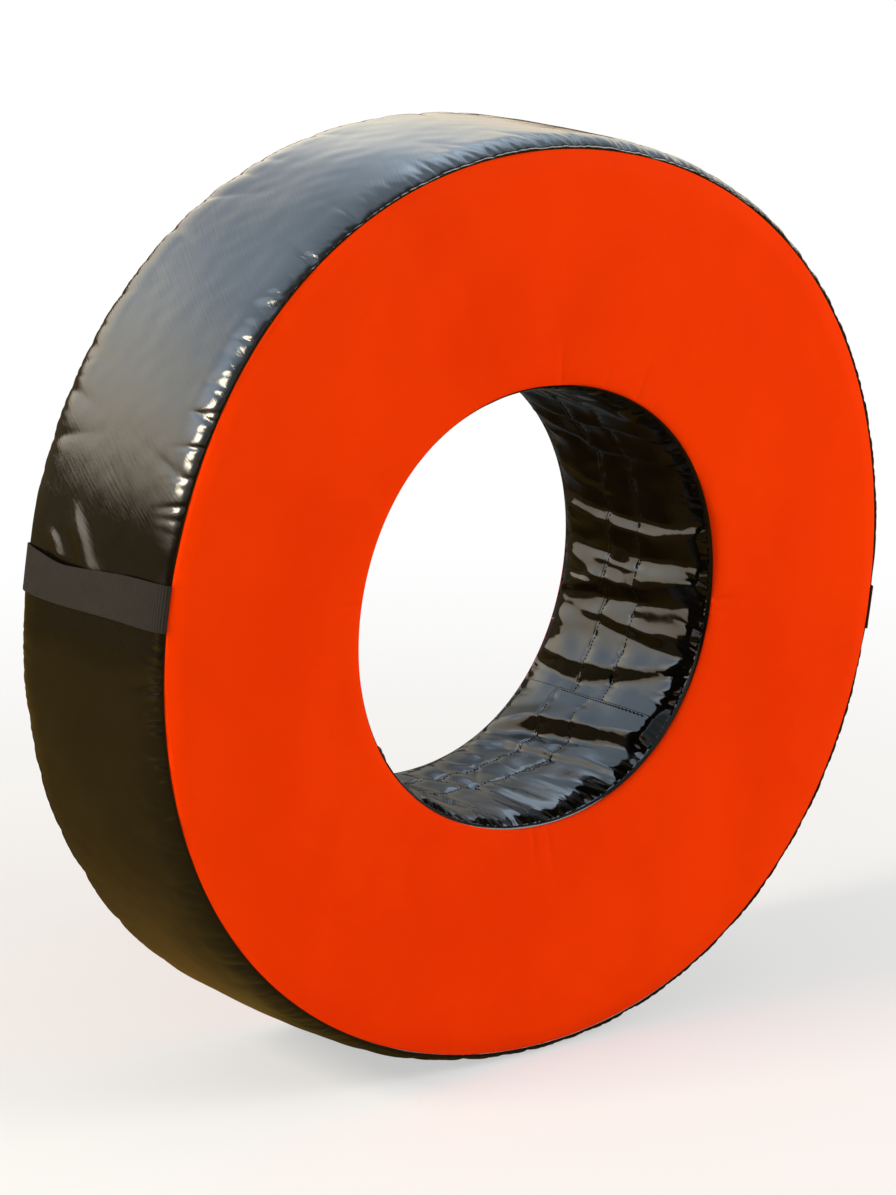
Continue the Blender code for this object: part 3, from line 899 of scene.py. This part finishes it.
for name, node, middle_angle in (
    ("handle_strap_left", "left_handle_strap", handle_angle),
    ("handle_strap_right", "right_handle_strap", joint_angle),
):
    shape, turn, across = flat_grid(strap_width_steps, np.linspace(0, 1, strap_length_steps + 1))
    length = even_points(strap_profile, across)[2]
    unrolled(shape, strap_width, length)
    shaped(shape, on_strap(middle_angle, (turn - 0.5) * strap_width, across))
    face_out(shape, 1)
    strap = finish_piece(name, shape, webbing, node)
    thickened(strap, strap_thickness, 1)
    edge = strap.modifiers.new("Selvedge", "BEVEL")
    edge.width = selvedge_round
    edge.segments = 2
    edge.limit_method = "ANGLE"
    edge.angle_limit = math.radians(60)
    tacks = []
    tack_share = tack_inset / length
    tacked = strap_width / 2 - tack_margin
    for share in (tack_share, 1 - tack_share):
        sides = np.arange(-tacked, tacked - tack_margin, stitch_pitch)
        middles = np.full_like(sides, share)
        tacks.append(((sides, middles), (sides + stitch_length, middles)))
    sewn(
        name + "_tacks", tacks, lambda aside, across: on_strap(middle_angle, aside, across, strap_thickness),
        thread_black, tack_radius,
    )

# The faces: one ring of orange vinyl each, sewn to the wall and to the lining, crowned over the foam.
# Short creases run in from the seams, the longest where foam quarters meet behind the panel.
face_turn_steps = 900
face_width_steps = 52
row_crowding = 0.45
rim_cut = 1.3
face_wave_height = 0.0013
face_ripple_height = 0.00028
orange, shade, shader = finish_material("orange_vinyl_sheet", IOR=1.45, Specular_IOR_Level=0.01)
place = shade.coordinates()
clouds = shade.noise(place, 3.5, 4.0, 0.55)
weave = shade.waves(place, 520, 0.4, "X") * 0.5 + shade.waves(place, 520, 0.4, "Z") * 0.5
grain = shade.noise(place, 900, 3.0)
cloudy = clouds.between(0.3, 0.7)
feed(shader, "Base Color", shade.mix(cloudy, (0.745, 0.031, 0.0, 1), (0.805, 0.038, 0.0, 1)))
feed(shader, "Roughness", 0.42 + grain * 0.12 + clouds * 0.06)
fine = shade.bump(weave, 0.00004)
feed(shader, "Normal", shade.bump(grain, 0.00005, under=fine))


def face_profile():
    """The face's section from its outer allowance over a softly cut rim to the allowance at the bore."""
    outer = np.array([outer_seam_radius + layer_gap * diagonal / 2, half_width + layer_gap / 2])
    inner = np.array([bore_seam_radius - layer_gap * diagonal / 2, half_width + layer_gap / 2])
    outer_edge = [outer - seam_allowance * diagonal]
    for share in np.linspace(0, 1, 15):
        outer_edge.append(outer + (-face_shoulder * share, face_crown * (1 - (1 - share) ** rim_cut)))
    inner_edge = [inner + np.array([1, -1]) * seam_allowance * diagonal]
    inner_edge += [*quarter_ellipse(inner, (face_shoulder, 0), (0, face_crown))]
    level = half_width + face_crown
    low, high = bore_seam_radius + face_shoulder, outer_seam_radius - face_shoulder
    middle = [
        (radius, level + face_swell * math.sin((radius - low) / (high - low) * math.pi))
        for radius in np.linspace(high, low, 18)[1:-1]
    ]
    return np.array([*outer_edge, *middle, *inner_edge[::-1]])


# Each crease at the bore's edge: its place in degrees, depth and length
bore_creases = [
    (169.8, 0.0034, 0.030), (166.5, 0.0018, 0.018), (-7.1, 0.0036, 0.034), (-9.8, 0.0020, 0.02),
    (-93.2, 0.0018, 0.05), (-88.5, 0.0014, 0.065), (84.1, 0.0016, 0.045), (58.6, 0.0014, 0.055),
    (70, 0.0009, 0.03),
]
for side, name, node in (
    (1, "face_cover_front", "front_face_panel"),
    (-1, "face_cover_back", "back_face_panel"),
):
    face_rng = np.random.default_rng(60 + side)
    shape, turn, across = flat_grid(face_turn_steps, np.linspace(0, 1, face_width_steps + 1))
    across = across - row_crowding * np.sin(full_turn * across) / math.pi
    points, normals, width = even_points(face_profile(), across)
    angle = joint_angle + turn * full_turn
    radius, forward = points[:, 0], points[:, 1]
    x, y = radius * np.cos(angle), radius * np.sin(angle)
    height = face_wave_height * random_waves(x, y, 0.45, 0.12, 16, face_rng)
    height += face_ripple_height * random_waves(x, y, 0.1, 0.04, 12, face_rng)
    outer_length = full_turn * outer_seam_radius
    rows = seam_rows(face_rng, outer_length, (0.012, 0.05), (0.0003, 0.0013), (0.008, 0.022))
    from_outer = np.maximum(outer_seam_radius - radius, 0)
    height -= gathered(angle * outer_seam_radius, from_outer, rows, outer_length)
    inner_length = full_turn * bore_seam_radius
    rows = seam_rows(face_rng, inner_length, (0.02, 0.07), (0.0002, 0.0007), (0.008, 0.02))
    rows += [
        (math.radians(place) * bore_seam_radius, depth, reach, 0.004, 0.1)
        for place, depth, reach in bore_creases
    ]
    from_inner = np.maximum(radius - bore_seam_radius, 0)
    height -= gathered(angle * bore_seam_radius, from_inner, rows, inner_length)
    height *= inside_seams(across, width)
    placed = standing(angle, radius + normals[:, 0] * height, forward - normals[:, 1] * height)
    placed[:, 1] *= side
    shaped(shape, placed)
    bmesh.ops.remove_doubles(shape, verts=shape.verts, dist=0.00001)
    bmesh.ops.recalc_face_normals(shape, faces=shape.faces)
    if side * max(shape.faces, key=lambda face: face.calc_area()).normal.y > 0:
        bmesh.ops.reverse_faces(shape, faces=shape.faces)
    face = finish_piece(name, shape, orange, node)
    thickened(face, vinyl_thickness)

# The floor, the light and the camera. The wheel stands on a plain pale floor that turns white away from it.
# Soft panels light it from the front, from the upper left and from low on the left.
wheel_centre = Vector((0, -0.003, centre_height))
pale_share = 0.5
world_light = 0.45


def seen_rays(shade):
    """1 for the rays by which the background is seen, directly, in gloss or through glass."""
    camera_ray = shade.node("ShaderNodeLightPath", {}, {}, "Is Camera Ray")
    outputs = camera_ray.socket.node.outputs
    others = [Shade(shade.tree, outputs[kind]) for kind in ("Is Glossy Ray", "Is Transmission Ray")]
    return camera_ray.maths("MAXIMUM", camera_ray, camera_ray.maths("MAXIMUM", *others))


def make_surface(shown):
    """Makes a shader the one that its material shows."""
    shown.tree.links.new(shown.socket, shown.tree.nodes["Material Output"].inputs["Surface"])


def stage_piece(name, shape, material):
    """A thing of the set around the wheel, from its shape."""
    thing = from_shape(name, shape, material)
    return thing


def flat_card(size, matrix=Matrix()):
    shape = bmesh.new()
    bmesh.ops.create_grid(shape, x_segments=1, y_segments=1, size=size, matrix=matrix)
    return shape


pale_floor, shade, shader = finish_material("pale_floor", Roughness=1.0, Specular_IOR_Level=0.0)
place = shade.coordinates()
feed(shader, "Base Color", shade.mix(shade.noise(place, 3), (0.76, 0.75, 0.735, 1), (0.78, 0.77, 0.755, 1)))
from_wheel = shade.vectors("LENGTH", place, output="Value")
glow = shade.node("ShaderNodeEmission", {}, {"Color": (1, 1, 1, 1), "Strength": 1.0})
plain = Shade(shade.tree, shader.outputs["BSDF"])
whiteness = (from_wheel.between(0.6, 2.4) * (1 - pale_share) + pale_share) * seen_rays(shade)
make_surface(shade.node("ShaderNodeMixShader", {}, {0: whiteness, 1: plain, 2: glow}))
stage_piece("floor", flat_card(60), pale_floor)

world = bpy.data.worlds.new("studio")
world.use_nodes = True
bpy.context.scene.world = world
shade = Shade(world.node_tree)
background = world.node_tree.nodes["Background"]
background.inputs["Color"].default_value = (0.97, 0.985, 1, 1)
feed(background, "Strength", seen_rays(shade) * (1 - world_light) + world_light)


def add_panel(name, place, width, height, radiance, colour):
    """A flat panel of light that faces the wheel, whose power is pi times its area times its radiance."""
    light = bpy.data.lights.new(name, "AREA")
    light.shape = "RECTANGLE"
    light.size = width
    light.size_y = height
    light.energy = math.pi * width * height * radiance
    light.color = colour
    panel = in_scene(name, light)
    panel.location = place
    panel.rotation_euler = (wheel_centre - Vector(place)).to_track_quat("-Z", "Y").to_euler()
    panel.visible_camera = False
    return panel


add_panel("key_panel", (-4.15, 0.6, 3.2), 1.3, 1.3, 34, (1, 0.89, 0.68))
add_panel("fill_panel", (3.5, -3.7, 2.7), 3.2, 2.6, 7.7, (1, 0.99, 0.97))
rim_panel = add_panel("rim_panel", (-4.2, 0.35, 0.5), 1.2, 1.2, 24, (1, 0.98, 0.95))
rim_panel.visible_glossy = False


def only_in_gloss(card):
    """Keeps a card of the set out of everything but reflections."""
    card.visible_camera = card.visible_diffuse = card.visible_transmission = False
    card.visible_volume_scatter = card.visible_shadow = False


# Black vinyl looks like what it reflects: a dome of light over a dark rim, warm and bright low down and blue
# above, a dark card on the floor with a painted shadow of the wheel just behind it, and a dim one behind the
# wheel. They are there for the gloss alone.
dome_radius = 9.0
shape = bmesh.new()
bmesh.ops.create_uvsphere(shape, u_segments=64, v_segments=32, radius=dome_radius)
bmesh.ops.bisect_plane(
    shape, geom=[*shape.verts, *shape.edges, *shape.faces],
    plane_co=(0, 0, 0), plane_no=(0, 0, 1), clear_inner=True,
)
dome_light, shade, shader = finish_material("dome_light")
shade.tree.nodes.remove(shader)
place = shade.coordinates()
towards = shade.vectors("NORMALIZE", shade.vectors("SUBTRACT", place, (0, 0, centre_height)))
to_right, to_back, rise = (shade.part(towards, axis) for axis in range(3))
rise = rise + to_right.between(0.1, 0.5) * 0.10 + to_right.between(0.5, 0.62) * 0.08
rim_rise = 0.207
peak = 3.6
levels = [
    (0.0, (0.075, 0.055, 0.03)), (0.17, (0.06, 0.045, 0.025)), (rim_rise, (0.07, 0.05, 0.03)),
    (rim_rise + 0.012, (0.80, 0.66, 0.50)), (0.30, (0.90, 0.80, 0.65)), (0.42, (0.97, 0.95, 0.85)),
    (0.51, (0.90, 0.92, 0.90)), (0.58, (0.75, 0.82, 0.90)), (0.65, (0.57, 0.70, 0.84)),
    (0.95, (0.60, 0.76, 0.93)),
]
ramp = shade.node("ShaderNodeValToRGB", {"stops": levels}, {0: rise})
bright_side = shade.vectors("DOT_PRODUCT", towards, (0.5, 0.5, 0.707), output="Value")
warm_side = shade.vectors("DOT_PRODUCT", towards, (-0.644, 0.372, 0.669), output="Value")
clouds = shade.noise(place, 0.35, 4.0, 0.55)
patches = 0.85 + clouds * 0.3 + bright_side.between(0.95, 0.995) * 0.9 + warm_side.between(0.95, 1.0) * 0.9
from_left = 1 - to_right.between(-0.35, 0.25) * 0.42 + to_right.between(0.25, 0.45) * 0.07
from_left = from_left - to_right.between(0.47, 0.66) * 0.25
strength = peak * patches * from_left * (0.2 + 0.8 * to_back.between(-0.35, 0.15))
make_surface(shade.node("ShaderNodeEmission", {}, {"Color": ramp, "Strength": strength}))
dome = stage_piece("light_dome", shape, dome_light)
dome.data.shade_smooth()
only_in_gloss(dome)

card_rise = 0.0005
# The spot behind the wheel round which the card carries a painted shadow of the wheel on the ground
painted_shadow_place = (0.15, 0.85, 0)
card_olive, shade, shader = finish_material("card_olive", Roughness=1.0, Specular_IOR_Level=0.0)
place = shade.coordinates()
mottled = shade.noise(place, 6, 5.0, 0.6)
olive = shade.mix(mottled, (0.12, 0.075, 0.015, 1), (0.30, 0.20, 0.05, 1))
# Painted shadow: the card turns a deep olive near the spot behind the wheel, where the wheel shades the
# ground
from_painted_shadow = shade.vectors("DISTANCE", place, painted_shadow_place, output="Value")
feed(shader, "Base Color", shade.mix(from_painted_shadow.between(0.35, 0.75), (0.05, 0.032, 0.008, 1), olive))
on_floor = Matrix.Translation((0, 0, card_rise))
only_in_gloss(stage_piece("dark_card", flat_card(dome_radius, on_floor), card_olive))

# The dim card lets the lower bore show less of the dome. Its veil fades towards its edges.
card_width, card_height = 1.5, 0.92
card_middle = (0.85, 0.62, card_height / 2)
veil_share = 0.72
upright = Matrix.Rotation(math.pi / 2, 4, "X") @ Matrix.Diagonal((card_width, card_height, 1, 1))
dim_veil, shade, shader = finish_material("dim_veil")
shade.tree.nodes.remove(shader)
across, above = (shade.part(shade.coordinates(), axis) for axis in (0, 2))
veil = across.between(0.1, 0.32) * (1 - across.between(1.3, 1.6))
veil = veil * (1 - above.between(0.66, 0.92)) * veil_share
clear = shade.node("ShaderNodeBsdfTransparent", {}, {})
dark = shade.node("ShaderNodeEmission", {}, {"Color": (0.7, 0.85, 1, 1), "Strength": 0.12})
make_surface(shade.node("ShaderNodeMixShader", {}, {0: veil, 1: clear, 2: dark}))
only_in_gloss(stage_piece("dim_card", flat_card(0.5, Matrix.Translation(card_middle) @ upright), dim_veil))

camera_azimuth = math.radians(-38.92)
camera_elevation = math.radians(14.45)
camera_distance = 5.139
picture_height_px = 1195
focal_length_px = 4545
sensor = 36
aim_right = -0.0458 * outer_seam_radius
aim_up = -0.0236 * outer_seam_radius
camera_data = bpy.data.cameras.new("camera")
camera_data.sensor_width = sensor
camera_data.lens = focal_length_px / picture_height_px * sensor
camera = in_scene("camera", camera_data)
level = math.cos(camera_elevation)
back = Vector((
    math.sin(camera_azimuth) * level, -math.cos(camera_azimuth) * level, math.sin(camera_elevation),
))
turn = back.to_track_quat("Z", "Y")
right, up = turn @ Vector((1, 0, 0)), turn @ Vector((0, 1, 0))
camera.location = wheel_centre + right * aim_right + up * aim_up + back * camera_distance
camera.rotation_euler = turn.to_euler()
bpy.context.scene.camera = camera
bpy.context.scene.view_settings.view_transform = "Standard"
